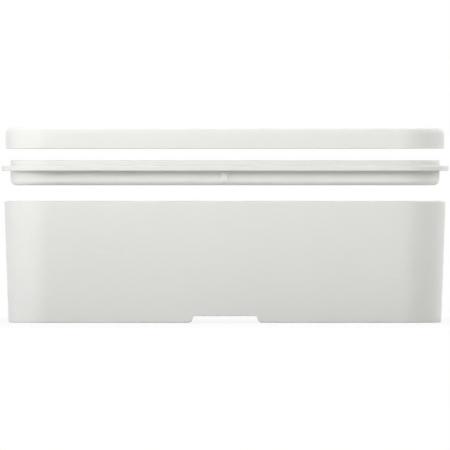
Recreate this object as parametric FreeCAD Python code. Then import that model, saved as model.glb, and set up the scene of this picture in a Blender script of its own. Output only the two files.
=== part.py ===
import FreeCAD, Part
import math
import os

from FreeCAD import Vector

# Bento lunch box: a drafted tub, a plug-in tray lid with its seal, and an outer cover.
# Millimetres and degrees. +Z is up, +X runs along the length, the front looks towards -Y.
# The tub stands on Z = 0. Both lids rest lifted off the tub, one above the other.

# Tub, measured over the rim
tub_length = 177.6
tub_width = 110.6
tub_height = 48.8
rim_corner_radius = 17.5
tub_wall = 2.0
tub_floor = 2.0
tub_draft = 2.0
tub_floor_fillet = 7.0
rim_edge_radius = 0.5

# Foot ring under the tub
foot_height = 3.0
foot_width = 3.0
foot_draft = 6.0
foot_outer_radius = 0.8
foot_inner_radius = 0.5

# Notch for a strap through the front and the back of the foot ring
notch_width = 26.0
notch_depth = 2.65
notch_mouth_radius = 1.8
notch_root_radius = 0.8

# Gate mark of the moulding under the tub
gate_recess_diameter = 9.0
gate_recess_depth = 0.5
gate_nub_diameter = 2.2
gate_nub_height = 0.3

# Tray that plugs into the tub
plug_clearance = 0.4
plug_depth = 5.8
plug_draft = 1.0
plug_bottom_radius = 2.3
tray_wall = 1.6
tray_floor = 1.6
tray_inner_draft = 1.5
tray_floor_fillet = 2.0
locating_rim_height = 2.2
locating_rim_draft = 1.5
locating_rim_radius = 0.5
locating_rim_root_radius = 0.4

# Flange of the tray, with a lip that reaches down round the tub's rim
flange_overhang = 1.2
flange_height = 2.1
flange_plate = 1.0
flange_edge_radius = 0.6
lip_clearance = 0.25
lip_outer_radius = 0.35
lip_inner_radius = 0.25

# Key ribs on the middle of the tray's front and back walls, and their slots in the tub
key_root_width = 3.1
key_crest_width = 1.6
key_rise = 0.7
key_clearance = 0.35
key_end_clearance = 0.5

# Seal ring in the channel between plug and lip
seal_side_clearance = 0.1
seal_base = 0.45
seal_bead_width = 1.2
seal_bead_rise = 0.3
seal_bead_radius = 0.28
seal_edge_radius = 0.15

# Outer cover
cover_height = 8.4
cover_wall = 1.6
cover_top = 1.8
cover_draft = 1.2
cover_clearance = 0.3
cover_top_radius = 2.6
cover_inner_radius = 1.2
cover_edge_radius = 0.35

# How far each lid is lifted in the rest pose
tray_lift = 12.2
cover_lift = 6.9

# Flat band that a swept section keeps beyond its last fillet, where the flat panel joins it
panel_margin = 0.5


def lean(height, degrees):
    """Sideways run of a wall of this height that leans by this angle."""
    return height * math.tan(math.radians(degrees))


def rounded_wire(corners, place):
    """Closed wire through (a, b, radius) corners, each rounded, put into space by place(a, b)."""
    joins = []
    count = len(corners)
    for index in range(count):
        a, b, radius = corners[index]
        here = Vector(a, b, 0)
        before = Vector(*corners[index - 1][:2], 0) - here
        after = Vector(*corners[(index + 1) % count][:2], 0) - here
        before.normalize()
        after.normalize()
        half_angle = before.getAngle(after) / 2
        run = radius / math.tan(half_angle)
        bisector = before + after
        if radius > 0:
            bisector.normalize()
        middle = here + bisector * (radius / math.sin(half_angle) - radius)
        joins.append((here + before * run, middle, here + after * run, radius))
    edges = []
    for index in range(count):
        start, middle, end, radius = joins[index]
        if radius > 0:
            points = [place(point.x, point.y) for point in (start, middle, end)]
            edges.append(Part.Arc(*points).toShape())
        following = joins[(index + 1) % count][0]
        edges.append(Part.makeLine(place(end.x, end.y), place(following.x, following.y)))
    return Part.Wire(edges)


def rim_wire(offset, z):
    """The rim's outline seen from above, moved outwards by offset."""
    half_length = tub_length / 2 + offset
    half_width = tub_width / 2 + offset
    radius = rim_corner_radius + offset
    corners = [
        (half_length, half_width, radius),
        (-half_length, half_width, radius),
        (-half_length, -half_width, radius),
        (half_length, -half_width, radius),
    ]
    return rounded_wire(corners, lambda x, y: Vector(x, y, z))


def rim_panel(offset, bottom, top):
    """Flat panel inside the rim's outline, moved outwards by offset."""
    return Part.Face(rim_wire(offset, bottom)).extrude(Vector(0, 0, top - bottom))


def around_rim(section):
    """Ring of a section swept round the rim's outline: (offset from the outline, height, radius) corners."""
    start_x = tub_length / 2
    start_y = tub_width / 2 - rim_corner_radius
    profile = rounded_wire(section, lambda offset, z: Vector(start_x + offset, start_y, z))
    sweep = Part.BRepOffsetAPI.MakePipeShell(rim_wire(0, 0))
    sweep.setBiNormalMode(Vector(0, 0, 1))
    sweep.add(profile)
    sweep.build()
    sweep.makeSolid()
    ring = sweep.shape()
    if ring.Volume < 0:
        ring.reverse()
    return ring


# Heights and offsets that several pieces share
floor_top = foot_height + tub_floor
lip_bottom = tub_height + tray_lift
channel_top = lip_bottom + flange_height - flange_plate
flange_top = lip_bottom + flange_height
plug_offset = -(tub_wall + plug_clearance)
plug_bottom = lip_bottom - plug_depth
tray_top = plug_bottom + tray_floor
locating_top = flange_top + locating_rim_height
cover_bottom = flange_top + cover_lift
cover_peak = cover_bottom + cover_height
key_crest_offset = plug_offset + key_rise
seat_depth = flange_height - flange_plate - seal_base - seal_bead_rise


def key_prism(side, clearance, bottom, top):
    """Upright key with sloped flanks on the front (side -1) or back (side 1) wall, grown by a clearance."""
    buried = side * (tub_width / 2 + plug_offset - tray_wall / 2)
    root = side * (tub_width / 2 + plug_offset)
    crest = side * (tub_width / 2 + key_crest_offset + clearance)
    half_root = key_root_width / 2 + clearance
    half_crest = key_crest_width / 2 + clearance
    plan = Part.makePolygon([
        Vector(-half_root, buried, bottom),
        Vector(half_root, buried, bottom),
        Vector(half_root, root, bottom),
        Vector(half_crest, crest, bottom),
        Vector(-half_crest, crest, bottom),
        Vector(-half_root, root, bottom),
        Vector(-half_root, buried, bottom),
    ])
    return Part.Face(plan).extrude(Vector(0, 0, top - bottom))


def strap_notch():
    """Channel with a rounded mouth, running from front to back under the tub."""
    half = notch_width / 2
    mouth = half + 2 * notch_mouth_radius
    corners = [
        (-mouth, -notch_depth, 0),
        (-mouth, 0, 0),
        (-half, 0, notch_mouth_radius),
        (-half, notch_depth, notch_root_radius),
        (half, notch_depth, notch_root_radius),
        (half, 0, notch_mouth_radius),
        (mouth, 0, 0),
        (mouth, -notch_depth, 0),
    ]
    wire = rounded_wire(corners, lambda x, z: Vector(x, -tub_width, z))
    return Part.Face(wire).extrude(Vector(0, 2 * tub_width, 0))


def make_container():
    foot_outer = -lean(tub_height, tub_draft)
    foot_inner = foot_outer - foot_width
    inner_bottom = -lean(tub_height - floor_top, tub_draft) - tub_wall
    floor_fillet = min(tub_floor_fillet, rim_corner_radius + inner_bottom - 2 * panel_margin)
    panel_offset = inner_bottom - floor_fillet - panel_margin
    tub = around_rim([
        (panel_offset, foot_height, 0),
        (foot_inner - lean(foot_height, foot_draft), foot_height, foot_inner_radius),
        (foot_inner, 0, foot_inner_radius),
        (foot_outer, 0, foot_outer_radius),
        (0, tub_height, rim_edge_radius),
        (-tub_wall, tub_height, rim_edge_radius),
        (inner_bottom, floor_top, floor_fillet),
        (panel_offset, floor_top, 0),
    ])
    tub = tub.fuse(rim_panel(panel_offset, foot_height, floor_top))
    tub = tub.cut(strap_notch())

    slot_bottom = tub_height - seat_depth - plug_depth - key_end_clearance
    for side in (-1, 1):
        tub = tub.cut(key_prism(side, key_clearance, slot_bottom, lip_bottom))

    gate = Part.makeCylinder(gate_recess_diameter / 2, gate_recess_depth, Vector(0, 0, foot_height))
    nub_bottom = foot_height + gate_recess_depth - gate_nub_height
    nub = Part.makeCylinder(gate_nub_diameter / 2, gate_nub_height, Vector(0, 0, nub_bottom))
    return tub.cut(gate).fuse(nub).removeSplitter()


def make_inner_lid():
    inner_top = plug_offset - tray_wall
    inner_bottom = inner_top - lean(locating_top - tray_top, tray_inner_draft)
    panel_offset = inner_bottom - tray_floor_fillet - panel_margin
    lid = around_rim([
        (panel_offset, plug_bottom, 0),
        (plug_offset - lean(plug_depth, plug_draft), plug_bottom, plug_bottom_radius),
        (plug_offset, lip_bottom, 0),
        (plug_offset, channel_top, 0),
        (lip_clearance, channel_top, 0),
        (lip_clearance, lip_bottom, lip_inner_radius),
        (flange_overhang, lip_bottom, lip_outer_radius),
        (flange_overhang, flange_top, flange_edge_radius),
        (plug_offset, flange_top, locating_rim_root_radius),
        (plug_offset - lean(locating_rim_height, locating_rim_draft), locating_top, locating_rim_radius),
        (inner_top, locating_top, locating_rim_radius),
        (inner_bottom, tray_top, tray_floor_fillet),
        (panel_offset, tray_top, 0),
    ])
    lid = lid.fuse(rim_panel(panel_offset, plug_bottom, tray_top))

    rib_profile = [
        (tub_width / 2 + inner_top, plug_bottom, 0),
        (tub_width / 2 + key_crest_offset, plug_bottom, plug_bottom_radius + key_rise),
        (tub_width / 2 + key_crest_offset, lip_bottom, 0),
        (tub_width / 2 + inner_top, lip_bottom, 0),
    ]
    for side in (-1, 1):
        rib_wire = rounded_wire(rib_profile, lambda y, z: Vector(-key_root_width, side * y, z))
        rounded_end = Part.Face(rib_wire).extrude(Vector(2 * key_root_width, 0, 0))
        lid = lid.fuse(key_prism(side, 0, plug_bottom, lip_bottom).common(rounded_end))
    return lid.removeSplitter()


def make_seal_ring():
    inner = plug_offset + seal_side_clearance
    outer = lip_clearance - seal_side_clearance
    base_bottom = channel_top - seal_base
    bead_bottom = base_bottom - seal_bead_rise
    bead_inner = -tub_wall / 2 - seal_bead_width / 2
    bead_outer = -tub_wall / 2 + seal_bead_width / 2
    return around_rim([
        (inner, channel_top, 0),
        (outer, channel_top, 0),
        (outer, base_bottom, seal_edge_radius),
        (bead_outer, base_bottom, 0),
        (bead_outer, bead_bottom, seal_bead_radius),
        (bead_inner, bead_bottom, seal_bead_radius),
        (bead_inner, base_bottom, 0),
        (inner, base_bottom, seal_edge_radius),
    ])


def make_outer_lid():
    inner_edge = plug_offset + cover_clearance
    outer_edge = inner_edge + cover_wall
    inner_peak = cover_peak - cover_top
    outer_shoulder = outer_edge - lean(cover_height, cover_draft)
    inner_shoulder = inner_edge - lean(cover_height - cover_top, cover_draft)
    panel_offset = min(outer_shoulder - cover_top_radius, inner_shoulder - cover_inner_radius) - panel_margin
    cover = around_rim([
        (panel_offset, cover_peak, 0),
        (outer_shoulder, cover_peak, cover_top_radius),
        (outer_edge, cover_bottom, cover_edge_radius),
        (inner_edge, cover_bottom, cover_edge_radius),
        (inner_shoulder, inner_peak, cover_inner_radius),
        (panel_offset, inner_peak, 0),
    ])
    return cover.fuse(rim_panel(panel_offset, inner_peak, cover_peak)).removeSplitter()


pieces = {
    "container": make_container(),
    "inner_lid": make_inner_lid(),
    "seal_ring": make_seal_ring(),
    "outer_lid": make_outer_lid(),
}

os.makedirs("parts", exist_ok=True)
for name, shape in pieces.items():
    solid = shape.Solids[0]
    if len(shape.Solids) != 1 or not solid.isValid():
        raise ValueError(name + " is not one valid solid")
    solid.exportStep("parts/" + name + ".step")
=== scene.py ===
import math
from collections import namedtuple

import bmesh
import bpy
from bpy.props import FloatProperty, FloatVectorProperty, IntProperty, PointerProperty
from bpy.types import Operator, Panel, PropertyGroup
from mathutils import Matrix, Vector


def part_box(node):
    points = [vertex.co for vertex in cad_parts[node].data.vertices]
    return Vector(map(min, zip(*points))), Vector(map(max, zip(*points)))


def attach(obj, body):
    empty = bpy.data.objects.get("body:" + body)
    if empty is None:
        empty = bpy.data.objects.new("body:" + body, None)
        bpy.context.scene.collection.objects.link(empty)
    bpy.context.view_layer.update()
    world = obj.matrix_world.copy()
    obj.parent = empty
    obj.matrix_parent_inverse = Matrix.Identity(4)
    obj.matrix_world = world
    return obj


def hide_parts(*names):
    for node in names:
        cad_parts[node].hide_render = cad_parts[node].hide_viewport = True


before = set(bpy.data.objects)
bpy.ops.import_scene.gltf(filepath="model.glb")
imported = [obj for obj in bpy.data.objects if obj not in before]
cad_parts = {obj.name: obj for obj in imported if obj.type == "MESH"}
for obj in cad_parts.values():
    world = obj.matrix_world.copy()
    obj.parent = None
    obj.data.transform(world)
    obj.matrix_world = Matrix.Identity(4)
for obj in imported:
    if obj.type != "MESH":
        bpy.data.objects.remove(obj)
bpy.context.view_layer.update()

bl_info = {
    "name": "Bento lunch box",
    "version": (1, 0, 0),
    "blender": (4, 5, 0),
    "location": "View3D > Sidebar > Lunch box",
    "description": "Builds a moulded lunch box with its tray lid, seal and cover, and a white studio",
    "category": "Add Mesh",
}

MM = 0.001
TUB_LOW, TUB_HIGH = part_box("container")
TRAY_LOW, TRAY_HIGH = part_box("inner_lid")
SEAL_LOW, SEAL_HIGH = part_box("seal_ring")
COVER_LOW, COVER_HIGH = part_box("outer_lid")

# Heights of the mesh rows on the tub's flat walls, which keep the faces there near square.
OUTSIDE_ROWS = [height * MM for height in (6, 14, 22, 30, 38)]
INSIDE_ROWS = [height * MM for height in (34, 26, 18)]

# Corner of each shell's section at which the polished core takes over from the satin outside:
# the inner edge of the tub's rim, of the tray's locating rim and of the cover's lower edge.
TUB_CORE = 5 + len(OUTSIDE_ROWS)
TRAY_CORE = 11
COVER_CORE = 3

# Mesh attribute that says how rubbed each point is.
WEAR = "wear"
# Edges that turn by more than this are shaded sharp.
SHARP_TURN = math.radians(40)
RECESS_SIDES = 40
FLOOR_SIDES = 96
WHITE = (1.0, 1.0, 1.0, 1.0)
# Numbers of a Mix node's colour sockets, whose names its other sockets share.
MIX_A, MIX_B, MIX_RESULT = 6, 7, 2


def length(name, description, default):
    """A size that the user can change, in metres."""
    return FloatProperty(name=name, description=description, default=default, unit="LENGTH", precision=5)


def slope(name, description, degrees):
    """An angle that the user can change."""
    return FloatProperty(
        name=name, description=description, default=math.radians(degrees), subtype="ANGLE")


def mesh_steps(name, description, default):
    """A number of mesh rows or columns that the user can change."""
    return IntProperty(name=name, description=description, default=default, min=2)


def share(name, description, default):
    """A plain number from 0 to 1 that the user can change."""
    return FloatProperty(
        name=name, description=description, default=default, min=0.0, max=1.0, subtype="FACTOR")


def linear(hex_colour):
    """sRGB hex value as the linear colour that shaders take."""
    channels = [int(hex_colour[start:start + 2], 16) / 255 for start in (0, 2, 4)]
    return [c / 12.92 if c <= 0.04045 else ((c + 0.055) / 1.055) ** 2.4 for c in channels]


def colour(name, description, hex_colour):
    """A colour that the user can change."""
    return FloatVectorProperty(
        name=name, description=description, default=linear(hex_colour), subtype="COLOR", min=0.0, max=1.0)


class RimSettings(PropertyGroup):
    """Rounded rectangle, seen from above, that every piece follows"""
    overhang: length("Flange overhang", "How far the tray's flange stands out past the tub's rim", 1.2 * MM)
    corner: length("Corner radius", "Outer corner radius of the tub's rim", 17.5 * MM)
    spacing: length("Mesh spacing", "Largest gap between mesh columns on a straight side", 7.0 * MM)
    margin: length("Panel margin", "Flat strip between a panel and the rounded edge beside it", 0.5 * MM)
    corner_steps: mesh_steps("Corner steps", "Mesh columns in a quarter turn", 20)
    edge_steps: mesh_steps("Edge steps", "Mesh rows across a rounded edge", 5)


class TubSettings(PropertyGroup):
    """Sizes of the drafted tub"""
    wall: length("Wall", "Thickness of the side walls", 2.0 * MM)
    floor: length("Floor", "Thickness of the floor", 2.0 * MM)
    draft: slope("Draft", "Lean of the walls, wider at the rim", 2.0)
    floor_fillet: length("Floor fillet", "Radius between floor and wall inside", 7.0 * MM)
    rim_edge: length("Rim edge", "Radius on both edges of the rim", 0.5 * MM)
    foot_height: length("Foot height", "Height of the foot ring under the floor", 3.0 * MM)
    foot_width: length("Foot width", "Width of the foot ring on the table", 3.0 * MM)
    foot_draft: slope("Foot draft", "Lean of the foot ring's inner side", 6.0)
    foot_edge: length("Foot edge", "Radius on the foot ring's outer edge", 0.5 * MM)
    foot_inner_edge: length("Foot inner edge", "Radius on the foot ring's inner edges", 0.5 * MM)
    notch_width: length("Notch width", "Width of the strap notch", 26.0 * MM)
    notch_depth: length("Notch depth", "Height of the strap notch", 2.65 * MM)
    notch_mouth: length("Notch mouth", "Radius where the notch opens on to the table", 1.8 * MM)
    notch_root: length("Notch root", "Radius in the notch's upper corners", 0.8 * MM)
    notch_edge: length("Notch edge", "Radius on the notch's outer edge", 0.25 * MM)
    notch_inner_edge: length("Notch inner edge", "Radius on the notch's inner edges", 0.1 * MM)
    notch_steps: mesh_steps("Notch steps", "Mesh columns across a rounded corner of the notch", 6)
    slot_run: length("Slot run", "How far a key slot runs on below the plug", 0.85 * MM)
    slot_step: length("Slot step", "Height of the slope at a key slot's lower end", 0.1 * MM)
    slot_rim_edge: length("Slot rim edge", "Radius on the rim's inner edge in a key slot", 0.3 * MM)
    gate_diameter: length("Gate recess", "Diameter of the moulding gate's recess under the floor", 9.0 * MM)
    gate_depth: length("Gate depth", "Depth of the gate's recess", 0.5 * MM)
    gate_nub: length("Gate nub", "Diameter of the cut-off gate in the recess", 2.2 * MM)
    gate_sink: length("Gate sink", "How far the cut-off gate stays back from the underside", 0.2 * MM)


class TraySettings(PropertyGroup):
    """Sizes of the tray lid that plugs into the tub"""
    clearance: length("Plug clearance", "Gap between plug and tub wall at the rim", 0.4 * MM)
    plug_depth: length("Plug depth", "Height of the plug under the flange", 5.8 * MM)
    plug_draft: slope("Plug draft", "Lean of the plug's wall", 1.0)
    plug_edge: length("Plug edge", "Radius along the plug's bottom", 2.3 * MM)
    wall: length("Wall", "Thickness of the tray's wall", 1.6 * MM)
    floor: length("Floor", "Thickness of the tray's floor", 1.6 * MM)
    inner_draft: slope("Inner draft", "Lean of the tray's wall inside", 1.5)
    floor_fillet: length("Floor fillet", "Radius between floor and wall inside", 2.0 * MM)
    flange_height: length("Flange height", "Height of the flange with its lip", 2.1 * MM)
    flange_plate: length("Flange plate", "Thickness of the flange over the seal", 1.0 * MM)
    flange_edge: length("Flange edge", "Radius along the flange's upper edge", 0.6 * MM)
    lip_clearance: length("Lip clearance", "Gap between the flange's lip and the tub's rim", 0.25 * MM)
    lip_inner_edge: length("Lip inner edge", "Radius on the inner edge of the lip", 0.25 * MM)
    lip_outer_edge: length("Lip outer edge", "Radius on the outer edge of the lip", 0.35 * MM)
    rim_draft: slope("Rim draft", "Lean of the locating rim", 1.5)
    rim_edge: length("Rim edge", "Radius on both edges of the locating rim", 0.5 * MM)
    rim_root: length("Rim root", "Radius between the flange and the locating rim", 0.4 * MM)
    key_root: length("Key root", "Width of the key rib on the wall", 3.1 * MM)
    key_crest: length("Key crest", "Width of the key rib's flat crest", 1.6 * MM)
    key_rise: length("Key rise", "How far the key rib stands out", 0.7 * MM)
    key_step: length("Key step", "Height of the slope at the key rib's upper end", 0.05 * MM)
    key_clearance: length("Key clearance", "Gap round the key rib in the tub's slot", 0.35 * MM)
    pin_diameter: length("Ejector pin", "Diameter of the ejector pins' marks on the hidden sides", 6.0 * MM)
    pin_depth: length("Pin mark depth", "Depth of an ejector pin's mark", 0.12 * MM)
    pin_along: length("Pins along", "From the middle to the outer pins, lengthwise", 62.0 * MM)
    pin_across: length("Pins across", "From the middle to the pins, crosswise", 32.0 * MM)


class SealSettings(PropertyGroup):
    """Sizes of the silicone ring under the flange"""
    side_clearance: length("Side clearance", "Gap on each side of the ring in its channel", 0.1 * MM)
    base: length("Base", "Thickness of the ring beside its bead", 0.45 * MM)
    top_edge: length("Top edge", "Radius on the ring's upper edges", 0.08 * MM)
    base_edge: length("Base edge", "Radius on the lower edges beside the bead", 0.15 * MM)
    bead_width: length("Bead width", "Width of the bead that the tub's rim presses", 1.2 * MM)
    bead_edge: length("Bead edge", "Radius along the bead", 0.168 * MM)
    bead_root: length("Bead root", "Radius where the bead leaves the ring", 0.1 * MM)
    edge_steps: mesh_steps("Edge steps", "Mesh rows across a rounded edge of the ring", 3)


class CoverSettings(PropertyGroup):
    """Sizes of the outer cover"""
    wall: length("Wall", "Thickness of the cover's wall", 1.6 * MM)
    top: length("Top", "Thickness of the cover's top", 1.8 * MM)
    draft: slope("Draft", "Lean of the cover's wall", 1.2)
    clearance: length("Clearance", "Gap between the cover and the tray's locating rim", 0.3 * MM)
    shoulder: length("Shoulder", "Radius along the cover's upper edge", 2.6 * MM)
    inner_fillet: length("Inner fillet", "Radius between top and wall inside", 1.2 * MM)
    edge: length("Edge", "Radius on both sides of the cover's lower edge", 0.2 * MM)


class FinishSettings(PropertyGroup):
    """Colours and gloss of the mouldings"""
    plastic: colour("Plastic", "Colour of the polypropylene", "EAEBE7")
    plastic_shade: colour("Plastic shade", "Colour of the polypropylene in its flow marks", "E6E7E2")
    rubbed: colour("Rubbed plastic", "Colour of the polypropylene where handling rubbed it pale", "EFEFEC")
    seal: colour("Seal", "Colour of the silicone", "D9D9D4")
    satin: share("Satin roughness", "Roughness outside, from the spark-eroded mould", 0.42)
    polish: share("Polished roughness", "Roughness inside, from the polished core", 0.24)
    gloss_drift: share("Gloss drift", "How far the roughness wanders to either side", 0.05)
    rub_polish: share("Rub polish", "How much roughness is lost where the plastic is rubbed", 0.12)
    tub_grain: length("Tub grain", "Depth of the mould's grain on the tub", 0.035 * MM)
    tray_grain: length("Tray grain", "Depth of the mould's grain on the tray lid", 0.02 * MM)
    cover_grain: length("Cover grain", "Depth of the mould's grain on the cover", 0.03 * MM)
    core_grain: length("Core grain", "Depth of the grain that is left on the polished core", 0.006 * MM)
    seal_bloom: length("Seal bloom", "Depth of the bloom on the silicone", 0.01 * MM)


class StageSettings(PropertyGroup):
    """Camera and studio"""
    distance: length("Camera distance", "From the camera to the tub's front", 8.0)
    height: length("Camera height", "Above the floor", 0.060)
    aim: length("Aim height", "Height on the tub's front that the camera looks at", 0.03925)
    field: length("Field width", "Width of the picture at the tub's front", 0.1807)
    floor_radius: length("Floor radius", "Size of the floor", 4.0)
    floor_gap: length("Floor gap", "How far the paper lies under the foot", 0.02 * MM)
    floor: colour("Floor", "Colour of the paper", "CCCCCA")
    floor_white: share("Floor white", "How much of the floor's shade near the box is seen plain white", 0.9)
    shadow_near: length("Shadow near", "Distance from the middle at which the shadow starts to fade", 0.12)
    shadow_far: length("Shadow far", "Distance from the middle at which the floor is all white", 0.45)
    ambient: share("Ambient", "Strength of the surroundings' own light", 0.02)


# A place on the rim's outline: its point, the way outwards there, and its position along the
# front or the back, which is infinite at the ends and corners, where there is no notch or key.
Station = namedtuple("Station", "x y out_x out_y along")
# A point of a section: how far outside the rim's outline and how high up it lies, the number of
# the corner that it belongs to, and how worn it is.
Point = namedtuple("Point", "out up corner wear")


def lean(height, angle):
    """Sideways run of a wall of this height that leans by this angle."""
    return height * math.tan(angle)


def blend(one, two, part):
    """Value that lies this part of the way from one to two."""
    return one + (two - one) * part


def rounded(corners, steps):
    """Points of an outline through (out, up, radius) corners. Rounded edges that stand out are worn."""
    points = []
    count = len(corners)
    area = sum(one[0] * two[1] - two[0] * one[1] for one, two in zip(corners, corners[1:] + corners[:1]))
    for number, (out, up, radius) in enumerate(corners):
        here = Vector((out, up))
        if radius == 0:
            points.append(Point(here.x, here.y, number, 0.0))
            continue
        before = (Vector(corners[number - 1][:2]) - here).normalized()
        after = (Vector(corners[(number + 1) % count][:2]) - here).normalized()
        half = before.angle(after) / 2
        centre = here + (before + after).normalized() * (radius / math.sin(half))
        spoke = here + before * (radius / math.tan(half)) - centre
        turn = math.copysign(math.pi - 2 * half, -before.cross(after))
        for step in range(steps + 1):
            point = centre + Matrix.Rotation(turn * step / steps, 2) @ spoke
            wear = math.sin(math.pi * step / steps) if turn * area > 0 else 0.0
            points.append(Point(point.x, point.y, number, wear))
    return points


def add_object(name, data):
    """New object in the scene."""
    thing = bpy.data.objects.new(name, data)
    bpy.context.scene.collection.objects.link(thing)
    return thing


def mesh_data(name, mesh):
    """Mesh data from a bmesh, which is freed."""
    data = bpy.data.meshes.new(name)
    mesh.to_mesh(data)
    mesh.free()
    return data


class RimLoft:
    """Mesh of a section carried round the rim's outline, with flat panels across its ends."""

    def __init__(self, rim, stops=()):
        half_length = TRAY_HIGH.x - rim.overhang
        half_width = TRAY_HIGH.y - rim.overhang
        self.xs = self.spread(half_length - rim.corner, rim.spacing, stops)
        self.ys = self.spread(half_width - rim.corner, rim.spacing, ())
        self.arc = rim.corner_steps - 1
        self.stations = []
        self.add_side([Station(half_length, y, 1, 0, math.inf) for y in self.ys], rim)
        self.add_side([Station(x, half_width, 0, 1, x) for x in reversed(self.xs)], rim)
        self.add_side([Station(-half_length, y, -1, 0, math.inf) for y in reversed(self.ys)], rim)
        self.add_side([Station(x, -half_width, 0, -1, x) for x in self.xs], rim)
        self.mesh = bmesh.new()
        self.wear = self.mesh.verts.layers.float.new(WEAR)

    @staticmethod
    def spread(half, spacing, stops):
        """Even positions from -half to half, with the stops on both sides in place of near ones."""
        count = math.ceil(2 * half / spacing)
        fixed = sorted({side * stop for stop in stops for side in (-1, 1)})
        even = [half * (2 * step / count - 1) for step in range(count + 1)]
        clear = [x for x in even if all(abs(x - stop) > spacing / 3 for stop in fixed)]
        return sorted(clear + fixed)

    def add_side(self, side, rim):
        """Adds a straight side and the corner that follows it, turning to the left."""
        self.stations.extend(side)
        last = side[-1]
        centre = Vector((last.x - last.out_x * rim.corner, last.y - last.out_y * rim.corner))
        for step in range(1, rim.corner_steps):
            angle = math.pi / 2 * step / rim.corner_steps
            out = Matrix.Rotation(angle, 2) @ Vector((last.out_x, last.out_y))
            point = centre + out * rim.corner
            self.stations.append(Station(point.x, point.y, out.x, out.y, math.inf))

    def sweep(self, section, closed=False, core_from=math.inf):
        """Carries section(along) round the outline. Returns the first and the last ring of points."""
        columns = []
        for station in self.stations:
            points = section(station.along)
            columns.append([])
            for point in points:
                x = station.x + station.out_x * point.out
                y = station.y + station.out_y * point.out
                vert = self.mesh.verts.new((x, y, point.up))
                vert[self.wear] = point.wear
                columns[-1].append(vert)
        rows = list(range(len(points)))
        pairs = list(zip(rows, rows[1:] + rows[:1] if closed else rows[1:]))
        for left, right in zip(columns, columns[1:] + columns[:1]):
            for low, high in pairs:
                face = self.mesh.faces.new((left[low], right[low], right[high], left[high]))
                face.material_index = int(points[low].corner >= core_from)
        return [column[0] for column in columns], [column[-1] for column in columns]

    def panel(self, ring, inside=False):
        """Closes a ring with a flat panel: a grid, a strip along each side and a fan in each corner."""
        level = ring[0].co.z
        grid = [[self.mesh.verts.new((x, y, level)) for y in self.ys] for x in self.xs]
        edges = [
            grid[-1],
            [column[-1] for column in reversed(grid)],
            list(reversed(grid[0])),
            [column[0] for column in grid],
        ]
        faces = []
        start = 0
        for edge in edges:
            side = ring[start:start + len(edge)]
            start += len(edge)
            corner = ring[start - 1:start + self.arc] + [ring[(start + self.arc) % len(ring)]]
            start += self.arc
            for step in range(len(edge) - 1):
                faces.append((side[step], side[step + 1], edge[step + 1], edge[step]))
            for one, two in zip(corner, corner[1:]):
                faces.append((one, two, edge[-1]))
        for one, two in zip(grid, grid[1:]):
            for step in range(len(one) - 1):
                faces.append((one[step], two[step], two[step + 1], one[step + 1]))
        for corners in faces:
            self.mesh.faces.new(corners).material_index = int(inside)

    def shell(self, section, core_from):
        """Sweeps an open section and closes both its ends, of which the last is polished."""
        first, last = self.sweep(section, core_from=core_from)
        self.panel(first)
        self.panel(last, inside=True)

    def piece(self, name, body, node, slot, materials):
        """Turns the mesh into a smooth-shaded object that stands for a CAD node and rides on its body."""
        if not all(edge.is_manifold for edge in self.mesh.edges):
            raise RuntimeError(f"{name} has a hole in its mesh")
        bmesh.ops.recalc_face_normals(self.mesh, faces=self.mesh.faces)
        data = mesh_data(name, self.mesh)
        for material in materials:
            data.materials.append(material)
        piece = add_object(name, data)
        shade(data)
        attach(piece, body)
        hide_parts(node)
        return piece


def shade(data):
    """Smooth shading that breaks at sharp edges."""
    data.polygons.foreach_set("use_smooth", [True] * len(data.polygons))
    data.set_sharp_from_angle(angle=SHARP_TURN)


def weigh_normals(piece):
    """Lets large flat faces set the shading, so that rounded edges stay crisp."""
    modifier = piece.modifiers.new("Weighted normals", "WEIGHTED_NORMAL")
    modifier.keep_sharp = True
    modifier.weight = 80


def carve(piece, profiles):
    """Cuts turned recesses out of a piece, each (x, y, [(radius, height), ...]) about an upright axis."""
    mesh = bmesh.new()
    angles = [2 * math.pi * step / RECESS_SIDES for step in range(RECESS_SIDES)]
    for x, y, profile in profiles:
        rings = []
        for radius, height in profile:
            spots = [(x, y)]
            if radius > 0:
                spots = [(x + radius * math.cos(angle), y + radius * math.sin(angle)) for angle in angles]
            rings.append([mesh.verts.new((*spot, height)) for spot in spots])
        for low, high in zip(rings, rings[1:]):
            for step in range(RECESS_SIDES):
                after = (step + 1) % RECESS_SIDES
                corners = [low[step % len(low)], low[after % len(low)]]
                corners += [high[after % len(high)], high[step % len(high)]]
                mesh.faces.new(list(dict.fromkeys(corners)))
    bmesh.ops.recalc_face_normals(mesh, faces=mesh.faces)
    data = mesh_data("cutter", mesh)
    cutter = add_object("cutter", data)
    modifier = piece.modifiers.new("Recess", "BOOLEAN")
    modifier.object = cutter
    modifier.operation = "DIFFERENCE"
    modifier.solver = "EXACT"
    graph = bpy.context.evaluated_depsgraph_get()
    carved = bpy.data.meshes.new_from_object(piece.evaluated_get(graph), depsgraph=graph)
    piece.modifiers.remove(modifier)
    old = piece.data
    if len(carved.polygons) <= len(old.polygons):
        raise RuntimeError(f"{piece.name} could not be carved")
    carved.name = piece.name
    piece.data = carved
    bpy.data.meshes.remove(old)
    bpy.data.objects.remove(cutter)
    bpy.data.meshes.remove(data)
    shade(piece.data)


def pin_marks(tray, level):
    """Marks of six ejector pins on a hidden panel, cut upwards from its level."""
    radius = tray.pin_diameter / 2
    low = level - tray.pin_depth
    high = level + tray.pin_depth
    profile = [(0, low), (radius, low), (radius, high), (0, high)]
    lengthwise = (-tray.pin_along, 0, tray.pin_along)
    crosswise = (-tray.pin_across, tray.pin_across)
    return [(x, y, profile) for x in lengthwise for y in crosswise]


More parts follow.
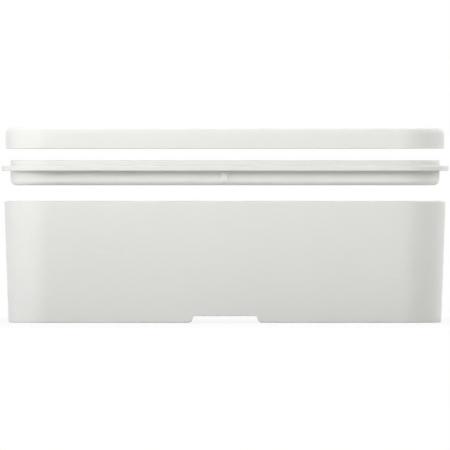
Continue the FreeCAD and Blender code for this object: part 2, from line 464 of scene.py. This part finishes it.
def add_node(tree, kind, settings=None, links=None):
    """Adds a shader node, sets its attributes or inputs and links {input: socket} into it."""
    node = tree.nodes.new(kind)
    for key, value in (settings or {}).items():
        if isinstance(key, str) and hasattr(node, key):
            setattr(node, key, value)
        else:
            node.inputs[key].default_value = value
    for key, socket in (links or {}).items():
        tree.links.new(socket, node.inputs[key])
    return node


def new_material(name):
    """Empty node material. Returns it, its tree and its output."""
    material = bpy.data.materials.new(name)
    material.use_nodes = True
    material.node_tree.nodes.clear()
    return material, material.node_tree, add_node(material.node_tree, "ShaderNodeOutputMaterial")


def per_metre(millimetres):
    """Texture scale that puts one feature in this many millimetres."""
    return 1 / (millimetres * MM)


def polypropylene(name, finish, roughness, grain_depth):
    """Moulded polypropylene: soft white with a waxy depth, flow marks, rubbed edges and mould grain."""
    material, tree, output = new_material(name)
    place = add_node(tree, "ShaderNodeTexCoord").outputs["Object"]
    # Flow marks of the melt: clouds some 40 mm across, hardly darker than the rest.
    flow = add_node(
        tree, "ShaderNodeTexNoise", {"Scale": per_metre(40), "Detail": 3.0, "Roughness": 0.55},
        {"Vector": place})
    tint = add_node(
        tree, "ShaderNodeMix",
        {"data_type": "RGBA", MIX_A: (*finish.plastic, 1.0), MIX_B: (*finish.plastic_shade, 1.0)},
        {0: flow.outputs["Fac"]})
    # Hands and drawers rub the edges pale and smooth, more in some places than in others,
    # in patches of 9 mm.
    edge = add_node(tree, "ShaderNodeAttribute", {"attribute_name": WEAR})
    patch = add_node(
        tree, "ShaderNodeTexNoise", {"Scale": per_metre(9), "Detail": 2.0}, {"Vector": place})
    worn = add_node(
        tree, "ShaderNodeMath", {"operation": "MULTIPLY"},
        {0: edge.outputs["Fac"], 1: patch.outputs["Fac"]})
    # Washing leaves hairlines. A real one is 0.05 mm wide and would vanish, so they are drawn
    # some 0.4 mm wide, as the crests of streaks that are 0.8 mm wide and 30 mm long.
    lay = add_node(
        tree, "ShaderNodeMapping",
        {"Rotation": (0.3, 0.35, 0.45), "Scale": (per_metre(30), per_metre(0.8), per_metre(0.8))},
        {"Vector": place})
    streak = add_node(
        tree, "ShaderNodeTexNoise", {"Scale": 1.0, "Detail": 1.0}, {"Vector": lay.outputs[0]})
    hairline = add_node(
        tree, "ShaderNodeMapRange", {"From Min": 0.68, "From Max": 0.76, "To Max": 0.3},
        {"Value": streak.outputs["Fac"]})
    rub = add_node(
        tree, "ShaderNodeMath", {"operation": "MAXIMUM"}, {0: worn.outputs[0], 1: hairline.outputs[0]})
    tint = add_node(
        tree, "ShaderNodeMix", {"data_type": "RGBA", MIX_B: (*finish.rubbed, 1.0)},
        {0: rub.outputs[0], MIX_A: tint.outputs[MIX_RESULT]})
    # Gloss wanders a little with the same patches, and rubbed plastic is smoother.
    gloss = add_node(
        tree, "ShaderNodeMapRange",
        {"To Min": roughness - finish.gloss_drift, "To Max": roughness + finish.gloss_drift},
        {"Value": patch.outputs["Fac"]})
    gloss = add_node(
        tree, "ShaderNodeMath", {"operation": "MULTIPLY_ADD", 1: -finish.rub_polish},
        {0: rub.outputs[0], 2: gloss.outputs[0]})
    # The eroded grain is 0.1 mm and would vanish, so it is drawn at 0.7 mm.
    grain = add_node(
        tree, "ShaderNodeTexNoise", {"Scale": per_metre(0.7), "Detail": 2.0, "Roughness": 0.6},
        {"Vector": place})
    bump = add_node(
        tree, "ShaderNodeBump", {"Strength": 0.5, "Distance": grain_depth},
        {"Height": grain.outputs["Fac"]})
    # A little light sinks in and comes out warmer, as in all translucent white plastic.
    shader = add_node(
        tree, "ShaderNodeBsdfPrincipled",
        {
            "IOR": 1.49,
            "Subsurface Weight": 0.15,
            "Subsurface Radius": (1.0, 0.95, 0.8),
            "Subsurface Scale": 1.5 * MM,
        },
        {
            "Base Color": tint.outputs[MIX_RESULT],
            "Roughness": gloss.outputs[0],
            "Normal": bump.outputs[0],
        })
    tree.links.new(shader.outputs[0], output.inputs["Surface"])
    return material


def silicone(name, finish):
    """Moulded silicone: milky and dull, with a fine bloom."""
    material, tree, output = new_material(name)
    place = add_node(tree, "ShaderNodeTexCoord").outputs["Object"]
    # Bloom on the rubber in specks of 0.5 mm.
    bloom = add_node(
        tree, "ShaderNodeTexNoise", {"Scale": per_metre(0.5), "Detail": 3.0}, {"Vector": place})
    dull = add_node(
        tree, "ShaderNodeMapRange", {"To Min": 0.5, "To Max": 0.65}, {"Value": bloom.outputs["Fac"]})
    tint = add_node(
        tree, "ShaderNodeMix",
        {"data_type": "RGBA", MIX_A: (*finish.seal, 1.0), MIX_B: (*finish.plastic, 1.0)},
        {0: bloom.outputs["Fac"]})
    bump = add_node(
        tree, "ShaderNodeBump", {"Strength": 0.3, "Distance": finish.seal_bloom},
        {"Height": bloom.outputs["Fac"]})
    shader = add_node(
        tree, "ShaderNodeBsdfPrincipled",
        {
            "IOR": 1.41,
            "Subsurface Weight": 0.4,
            "Subsurface Radius": (1.0, 1.0, 0.9),
            "Subsurface Scale": 1.0 * MM,
        },
        {
            "Base Color": tint.outputs[MIX_RESULT],
            "Roughness": dull.outputs[0],
            "Normal": bump.outputs[0],
        })
    tree.links.new(shader.outputs[0], output.inputs["Surface"])
    return material


class LUNCHBOX_OT_container(Operator):
    """Builds the tub with its foot ring, strap notch, key slots and gate mark"""
    bl_idname = "lunchbox.container"
    bl_label = "Build container"

    def execute(self, context):
        rim = context.scene.lunchbox_rim
        tub = context.scene.lunchbox_tub
        tray = context.scene.lunchbox_tray
        finish = context.scene.lunchbox_finish
        top = TUB_HIGH.z
        floor_top = tub.foot_height + tub.floor
        inner_bottom = -lean(top - floor_top, tub.draft) - tub.wall
        panel = inner_bottom - tub.floor_fillet - rim.margin
        half_notch = tub.notch_width / 2
        mouth = half_notch + tub.notch_mouth
        root = half_notch - tub.notch_root
        plug = -(tub.wall + tray.clearance)
        slot_floor = plug + tray.key_rise + tray.key_clearance
        slot_crest = tray.key_crest / 2 + tray.key_clearance
        slot_root = tray.key_root / 2 + tray.key_clearance
        slot_edge = slot_crest + (slot_root - slot_crest) * (slot_floor + tub.wall) / (slot_floor - plug)
        slot_bottom = top - tray.plug_depth - tub.slot_run

        def wall_out(height):
            """Place of the outer wall at this height."""
            return -lean(top - height, tub.draft)

        def notch_height(along):
            """Height of the foot's lower edge, which the notch lifts."""
            across = abs(along)
            if across >= mouth:
                return 0.0
            if across > half_notch:
                return tub.notch_mouth - math.sqrt(max(tub.notch_mouth ** 2 - (mouth - across) ** 2, 0.0))
            if across > root:
                rise = math.sqrt(max(tub.notch_root ** 2 - (across - root) ** 2, 0.0))
                return tub.notch_depth - tub.notch_root + rise
            return tub.notch_depth

        def slot_out(along):
            """Place of the key slot's floor and flanks."""
            share_in = (abs(along) - slot_crest) / (slot_root - slot_crest)
            return blend(slot_floor, plug, max(share_in, 0.0))

        def section(along):
            """Section from under the floor, round the foot and the rim, to the floor inside."""
            bottom = notch_height(along)
            depth = bottom / tub.notch_depth
            outer_edge = blend(tub.foot_edge, tub.notch_edge, depth)
            inner_edge = blend(tub.foot_inner_edge, tub.notch_inner_edge, depth)
            foot_in = wall_out(0) - tub.foot_width
            rim_in = max(-tub.wall, slot_out(along))
            return rounded([
                (panel, tub.foot_height, 0),
                (foot_in - lean(tub.foot_height, tub.foot_draft), tub.foot_height, inner_edge),
                (foot_in - lean(bottom, tub.foot_draft), bottom, inner_edge),
                (wall_out(bottom), bottom, outer_edge),
                *[(wall_out(row), row, 0) for row in OUTSIDE_ROWS],
                (0, top, tub.rim_edge),
                (rim_in, top, tub.slot_rim_edge if rim_in > -tub.wall else tub.rim_edge),
                (max(wall_out(slot_bottom) - tub.wall, slot_out(along)), slot_bottom, 0),
                (wall_out(slot_bottom) - tub.wall, slot_bottom - tub.slot_step, 0),
                *[(wall_out(row) - tub.wall, row, 0) for row in INSIDE_ROWS],
                (inner_bottom, floor_top, tub.floor_fillet),
                (panel, floor_top, 0),
            ], rim.edge_steps)

        quarter = [math.pi / 2 * step / tub.notch_steps for step in range(1, tub.notch_steps)]
        stops = [mouth, half_notch, root, slot_crest, slot_edge, slot_root]
        stops += [mouth - tub.notch_mouth * math.sin(angle) for angle in quarter]
        stops += [root + tub.notch_root * math.sin(angle) for angle in quarter]
        loft = RimLoft(rim, stops)
        loft.shell(section, TUB_CORE)
        piece = loft.piece("container_tub", "container", "container", "container_plastic", [
            polypropylene("Polypropylene, spark-eroded satin", finish, finish.satin, finish.tub_grain),
            polypropylene("Polypropylene, polished", finish, finish.polish, finish.core_grain),
        ])
        level = tub.foot_height
        gate = tub.gate_diameter / 2
        nub = tub.gate_nub / 2
        carve(piece, [(0, 0, [
            (0, level - tub.gate_depth),
            (gate, level - tub.gate_depth),
            (gate, level + tub.gate_depth),
            (nub, level + tub.gate_depth),
            (nub, level + tub.gate_sink),
            (0, level + tub.gate_sink),
        ])])
        weigh_normals(piece)
        return {"FINISHED"}


class LUNCHBOX_OT_inner_lid(Operator):
    """Builds the tray lid with its flange, locating rim and key ribs"""
    bl_idname = "lunchbox.inner_lid"
    bl_label = "Build inner lid"

    def execute(self, context):
        rim = context.scene.lunchbox_rim
        tub = context.scene.lunchbox_tub
        tray = context.scene.lunchbox_tray
        finish = context.scene.lunchbox_finish
        plug = -(tub.wall + tray.clearance)
        bottom = TRAY_LOW.z
        lip = bottom + tray.plug_depth
        flange_top = lip + tray.flange_height
        channel = flange_top - tray.flange_plate
        top = TRAY_HIGH.z
        floor_top = bottom + tray.floor
        inner_top = plug - tray.wall
        inner_bottom = inner_top - lean(top - floor_top, tray.inner_draft)
        panel = inner_bottom - tray.floor_fillet - rim.margin
        half_root = tray.key_root / 2
        half_crest = tray.key_crest / 2

        def section(along):
            """Section from under the plug, round the flange and the locating rim, to the tray's floor."""
            share_out = min(max((half_root - abs(along)) / (half_root - half_crest), 0.0), 1.0)
            key = tray.key_rise * share_out
            plug_low = plug - lean(tray.plug_depth, tray.plug_draft) * (1 - share_out)
            return rounded([
                (panel, bottom, 0),
                (plug_low + key, bottom, tray.plug_edge + key),
                (plug + key, lip - tray.key_step, 0),
                (plug, lip, 0),
                (plug, channel, 0),
                (tray.lip_clearance, channel, 0),
                (tray.lip_clearance, lip, tray.lip_inner_edge),
                (rim.overhang, lip, tray.lip_outer_edge),
                (rim.overhang, flange_top, tray.flange_edge),
                (plug, flange_top, tray.rim_root),
                (plug - lean(top - flange_top, tray.rim_draft), top, tray.rim_edge),
                (inner_top, top, tray.rim_edge),
                (inner_bottom, floor_top, tray.floor_fillet),
                (panel, floor_top, 0),
            ], rim.edge_steps)

        loft = RimLoft(rim, [half_crest, half_root])
        loft.shell(section, TRAY_CORE)
        piece = loft.piece("inner_lid_tray", "inner_lid", "inner_lid", "inner_lid_plastic", [
            polypropylene("Polypropylene, fine satin", finish, finish.satin, finish.tray_grain),
            polypropylene("Polypropylene, tray polish", finish, finish.polish, finish.core_grain),
        ])
        carve(piece, pin_marks(tray, bottom))
        weigh_normals(piece)
        return {"FINISHED"}


class LUNCHBOX_OT_seal_ring(Operator):
    """Builds the silicone ring in the channel under the flange"""
    bl_idname = "lunchbox.seal_ring"
    bl_label = "Build seal ring"

    def execute(self, context):
        rim = context.scene.lunchbox_rim
        tub = context.scene.lunchbox_tub
        tray = context.scene.lunchbox_tray
        seal = context.scene.lunchbox_seal
        inner = -(tub.wall + tray.clearance) + seal.side_clearance
        outer = tray.lip_clearance - seal.side_clearance
        top = SEAL_HIGH.z
        base = top - seal.base
        middle = -tub.wall / 2
        half_bead = seal.bead_width / 2
        points = rounded([
            (inner, top, seal.top_edge),
            (outer, top, seal.top_edge),
            (outer, base, seal.base_edge),
            (middle + half_bead, base, seal.bead_root),
            (middle + half_bead, SEAL_LOW.z, seal.bead_edge),
            (middle - half_bead, SEAL_LOW.z, seal.bead_edge),
            (middle - half_bead, base, seal.bead_root),
            (inner, base, seal.base_edge),
        ], seal.edge_steps)
        loft = RimLoft(rim)
        loft.sweep(lambda along: points, closed=True)
        piece = loft.piece("seal_ring_bead", "inner_lid", "seal_ring", "seal_silicone", [
            silicone("Silicone, moulded", context.scene.lunchbox_finish),
        ])
        weigh_normals(piece)
        return {"FINISHED"}


class LUNCHBOX_OT_outer_lid(Operator):
    """Builds the cover that stands on the flange"""
    bl_idname = "lunchbox.outer_lid"
    bl_label = "Build outer lid"

    def execute(self, context):
        rim = context.scene.lunchbox_rim
        tub = context.scene.lunchbox_tub
        tray = context.scene.lunchbox_tray
        cover = context.scene.lunchbox_cover
        finish = context.scene.lunchbox_finish
        bottom = COVER_LOW.z
        top = COVER_HIGH.z
        inner_top = top - cover.top
        inner = -(tub.wall + tray.clearance) + cover.clearance
        outer = inner + cover.wall
        inner_shoulder = inner - lean(inner_top - bottom, cover.draft)
        outer_shoulder = outer - lean(top - bottom, cover.draft)
        # The shoulder is the largest rounded edge outside, so it gets twice the margin and rows.
        panel = outer_shoulder - cover.shoulder - 2 * rim.margin
        points = rounded([
            (panel, top, 0),
            (outer_shoulder, top, cover.shoulder),
            (outer, bottom, cover.edge),
            (inner, bottom, cover.edge),
            (inner_shoulder, inner_top, cover.inner_fillet),
            (panel, inner_top, 0),
        ], 2 * rim.edge_steps)
        loft = RimLoft(rim)
        loft.shell(lambda along: points, COVER_CORE)
        piece = loft.piece("outer_lid_cover", "outer_lid", "outer_lid", "outer_lid_plastic", [
            polypropylene("Polypropylene, soft satin", finish, finish.satin, finish.cover_grain),
            polypropylene("Polypropylene, core polish", finish, finish.polish, finish.core_grain),
        ])
        carve(piece, pin_marks(tray, inner_top))
        weigh_normals(piece)
        return {"FINISHED"}


Lamp = namedtuple("Lamp", "name place aim width height watts tint glossy")

# Places and sizes in metres. Only the lamps overhead are mirrored in the plastic, so that the
# cover's top doesn't flare when it is seen from low down. The bounce lamps give the light that a
# white table throws up under the lids.
LAMPS = [
    Lamp("Front strip", (0.0, -0.3, 0.22), (0.0, -0.05, 0.04), 0.7, 0.14, 0.68, "FFFFFF", False),
    Lamp("Near strip", (-0.03, -0.16, 0.15), (0.0, -0.05, 0.04), 0.5, 0.06, 0.08, "FFFFFF", False),
    Lamp("Low strip", (-0.1, -0.26, 0.13), (0.0, -0.05, 0.05), 0.5, 0.06, 0.16, "FFFFFF", False),
    Lamp("Left panel", (-0.888, -0.14, 0.105), (0.0, 0.0, 0.05), 0.5, 0.18, 2.7, "FAFAFF", False),
    Lamp("Right panel", (0.747, 0.397, 0.348), (0.0, 0.0, 0.04), 0.7, 0.5, 5.3, "FFFFFF", False),
    Lamp("Top panel", (0.0, 0.1, 0.95), (0.0, 0.0, 0.05), 0.6, 0.5, 1.3, "FAFAFF", True),
    Lamp("Back panel", (0.0, 0.6, 0.75), (0.0, 0.02, 0.05), 0.6, 0.5, 3.4, "FAFAFF", True),
    Lamp("Tray bounce", (0.0, 0.0, 0.0497), (0.0, 0.001, 1.0), 0.172, 0.105, 0.02, "FFFFFF", False),
    Lamp("Cover bounce", (0.0, 0.0, 0.0667), (0.0, 0.001, 1.0), 0.172, 0.105, 0.014, "FFFFFF", False),
]


def turn_to(thing, aim):
    """Turns a camera or a lamp towards a point."""
    thing.rotation_euler = (Vector(aim) - thing.location).to_track_quat("-Z", "Y").to_euler()


def set_camera(scene, stage):
    """Camera straight in front and far off, so that level edges look level."""
    front = Vector((0, TUB_LOW.y, stage.aim))
    data = bpy.data.cameras.new("Camera")
    data.sensor_width = 36.0
    data.clip_end = 50.0
    camera = add_object("Camera", data)
    camera.location = (0, TUB_LOW.y - stage.distance, stage.height)
    turn_to(camera, front)
    data.lens = data.sensor_width * (front - camera.location).length / stage.field
    scene.camera = camera


def hang_lamps():
    """Softboxes that the camera doesn't see."""
    for lamp in LAMPS:
        light = bpy.data.lights.new(lamp.name, "AREA")
        light.shape = "RECTANGLE"
        light.size = lamp.width
        light.size_y = lamp.height
        light.energy = lamp.watts
        light.color = linear(lamp.tint)
        softbox = add_object(lamp.name, light)
        softbox.location = lamp.place
        turn_to(softbox, lamp.aim)
        softbox.visible_camera = False
        softbox.visible_glossy = lamp.glossy


def looking_rays(tree):
    """Socket that is 1 for the rays that show what surrounds the box, and 0 for those that light it."""
    ray = add_node(tree, "ShaderNodeLightPath")
    looking = add_node(
        tree, "ShaderNodeMath", {"operation": "MAXIMUM"},
        {0: ray.outputs["Is Camera Ray"], 1: ray.outputs["Is Glossy Ray"]})
    looking = add_node(
        tree, "ShaderNodeMath", {"operation": "MAXIMUM"},
        {0: looking.outputs[0], 1: ray.outputs["Is Transmission Ray"]})
    return looking.outputs[0]


def lay_floor(stage):
    """Matt pale paper: the camera sees it white, with the shadow left on it close to the box."""
    disc = bmesh.new()
    bmesh.ops.create_circle(disc, cap_ends=True, radius=stage.floor_radius, segments=FLOOR_SIDES)
    data = mesh_data("Floor", disc)
    floor = add_object("Floor", data)
    floor.location.z = -stage.floor_gap
    paper, tree, output = new_material("Paper, matt")
    place = add_node(tree, "ShaderNodeTexCoord").outputs["Object"]
    away = add_node(tree, "ShaderNodeVectorMath", {"operation": "LENGTH"}, {0: place})
    white = add_node(
        tree, "ShaderNodeMapRange",
        {
            "interpolation_type": "SMOOTHSTEP",
            "From Min": stage.shadow_near,
            "From Max": stage.shadow_far,
            "To Min": stage.floor_white,
        },
        {"Value": away.outputs["Value"]})
    seen = add_node(
        tree, "ShaderNodeMath", {"operation": "MULTIPLY"}, {0: white.outputs[0], 1: looking_rays(tree)})
    diffuse = add_node(tree, "ShaderNodeBsdfDiffuse", {"Color": (*stage.floor, 1.0)})
    glow = add_node(tree, "ShaderNodeEmission", {"Color": WHITE, "Strength": 1.0})
    mixed = add_node(
        tree, "ShaderNodeMixShader", None,
        {0: seen.outputs[0], 1: diffuse.outputs[0], 2: glow.outputs[0]})
    tree.links.new(mixed.outputs[0], output.inputs["Surface"])
    data.materials.append(paper)


def surround(scene, stage):
    """Surroundings that look white and give hardly any light."""
    world = bpy.data.worlds.new("White surroundings")
    world.use_nodes = True
    scene.world = world
    tree = world.node_tree
    tree.nodes.clear()
    output = add_node(tree, "ShaderNodeOutputWorld")
    dim = add_node(tree, "ShaderNodeBackground", {"Color": WHITE, "Strength": stage.ambient})
    white = add_node(tree, "ShaderNodeBackground", {"Color": WHITE, "Strength": 1.0})
    mixed = add_node(
        tree, "ShaderNodeMixShader", None,
        {0: looking_rays(tree), 1: dim.outputs[0], 2: white.outputs[0]})
    tree.links.new(mixed.outputs[0], output.inputs["Surface"])


class LUNCHBOX_OT_stage(Operator):
    """Sets the camera, the softboxes, the white floor and the white surroundings"""
    bl_idname = "lunchbox.stage"
    bl_label = "Set the stage"

    def execute(self, context):
        scene = context.scene
        stage = scene.lunchbox_stage
        scene.view_settings.view_transform = "Standard"
        set_camera(scene, stage)
        hang_lamps()
        lay_floor(stage)
        surround(scene, stage)
        return {"FINISHED"}


class LUNCHBOX_PT_panel(Panel):
    """Lists the sizes and the steps that build the lunch box"""
    bl_idname = "LUNCHBOX_PT_panel"
    bl_label = "Bento lunch box"
    bl_space_type = "VIEW_3D"
    bl_region_type = "UI"
    bl_category = "Lunch box"

    def draw(self, context):
        for operator in OPERATORS:
            self.layout.operator(operator.bl_idname)
        for name, group in SETTINGS.items():
            box = self.layout.box()
            box.label(text=group.__doc__)
            for key in group.__annotations__:
                box.prop(getattr(context.scene, name), key)


SETTINGS = {
    "lunchbox_rim": RimSettings,
    "lunchbox_tub": TubSettings,
    "lunchbox_tray": TraySettings,
    "lunchbox_seal": SealSettings,
    "lunchbox_cover": CoverSettings,
    "lunchbox_finish": FinishSettings,
    "lunchbox_stage": StageSettings,
}
OPERATORS = [
    LUNCHBOX_OT_container,
    LUNCHBOX_OT_inner_lid,
    LUNCHBOX_OT_seal_ring,
    LUNCHBOX_OT_outer_lid,
    LUNCHBOX_OT_stage,
]


def register():
    for name, group in SETTINGS.items():
        bpy.utils.register_class(group)
        setattr(bpy.types.Scene, name, PointerProperty(type=group))
    for operator in OPERATORS:
        bpy.utils.register_class(operator)
    bpy.utils.register_class(LUNCHBOX_PT_panel)


def unregister():
    bpy.utils.unregister_class(LUNCHBOX_PT_panel)
    for operator in reversed(OPERATORS):
        bpy.utils.unregister_class(operator)
    for name, group in SETTINGS.items():
        delattr(bpy.types.Scene, name)
        bpy.utils.unregister_class(group)


def main():
    register()
    bpy.ops.lunchbox.container()
    bpy.ops.lunchbox.inner_lid()
    bpy.ops.lunchbox.seal_ring()
    bpy.ops.lunchbox.outer_lid()
    bpy.ops.lunchbox.stage()


if __name__ == "__main__":
    main()
